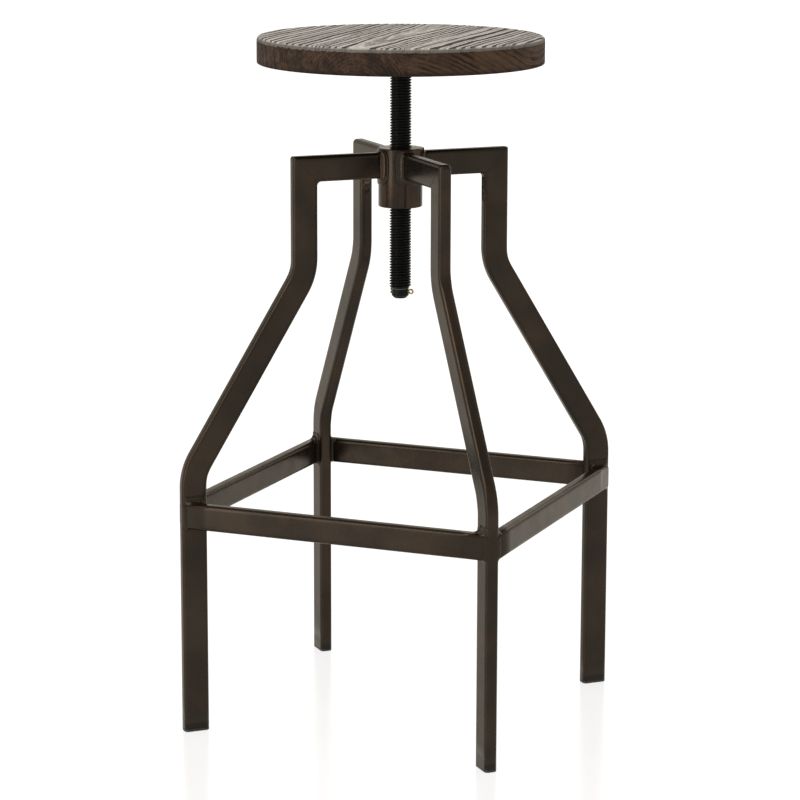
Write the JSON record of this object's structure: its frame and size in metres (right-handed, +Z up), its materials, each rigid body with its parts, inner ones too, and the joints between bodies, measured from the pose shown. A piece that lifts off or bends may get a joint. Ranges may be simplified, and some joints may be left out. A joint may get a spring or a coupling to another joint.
{
  "type": "bar stool",
  "caption": "Bar stool with a round wooden seat on a threaded spindle, raised and lowered by turning it, in a welded frame of bent rectangular tube with a square footrest.",
  "frame": {"origin": "middle of the footprint, on the floor, under the axis of the lifting screw", "axes": "+Z up along the lifting screw; the footrest rails run along X and Y and the legs stand on the diagonals between them; -Y is the front"},
  "size_m": [0.3942, 0.3942, 0.798],
  "materials": {
    "bronze_steel": "satin gunmetal bronze lacquer with fine brown mottling",
    "weathered_wood": "brushed grey-brown top with dark open grain, darker side",
    "black_steel": "satin black oxide",
    "black_plastic": "matte black",
    "brass": "dull yellow",
    "zinc_steel": "zinc plated"
  },
  "bodies": {
    "frame": {"hub": "bronze_steel", "hub_welds": "bronze_steel", "arm_front_left": "bronze_steel", "arm_front_right": "bronze_steel", "arm_back_left": "bronze_steel", "arm_back_right": "bronze_steel", "corner_welds": "bronze_steel", "leg_front_left": "bronze_steel", "leg_front_right": "bronze_steel", "leg_back_left": "bronze_steel", "leg_back_right": "bronze_steel", "footrest_front": "bronze_steel", "footrest_back": "bronze_steel", "footrest_left": "bronze_steel", "footrest_right": "bronze_steel", "rail_welds": "bronze_steel", "foot_front_left": "black_plastic", "foot_front_right": "black_plastic", "foot_back_left": "black_plastic", "foot_back_right": "black_plastic"},
    "lift_ring": {"screw_weld": "black_steel"},
    "spindle": {"seat": "weathered_wood", "seat_screws": "zinc_steel", "seat_plate": "bronze_steel", "lifting_screw": "black_steel", "stop_pin": "brass"}
  },
  "joints": [
    {"name": "seat_lift", "type": "slide", "parent": "frame", "child": "lift_ring", "axis": [0, 0, 1], "range_m": [-0.088, 0.096]},
    {"name": "seat_turn", "type": "hinge", "parent": "lift_ring", "child": "spindle", "pos_m": [0, 0, 0.6355], "axis": [0, 0, 1], "range_deg": [-9977, 10884]}
  ],
  "couplings": [
    {"joint": "seat_lift", "follows": "seat_turn", "m_per_rad": 0.00050532}
  ]
}
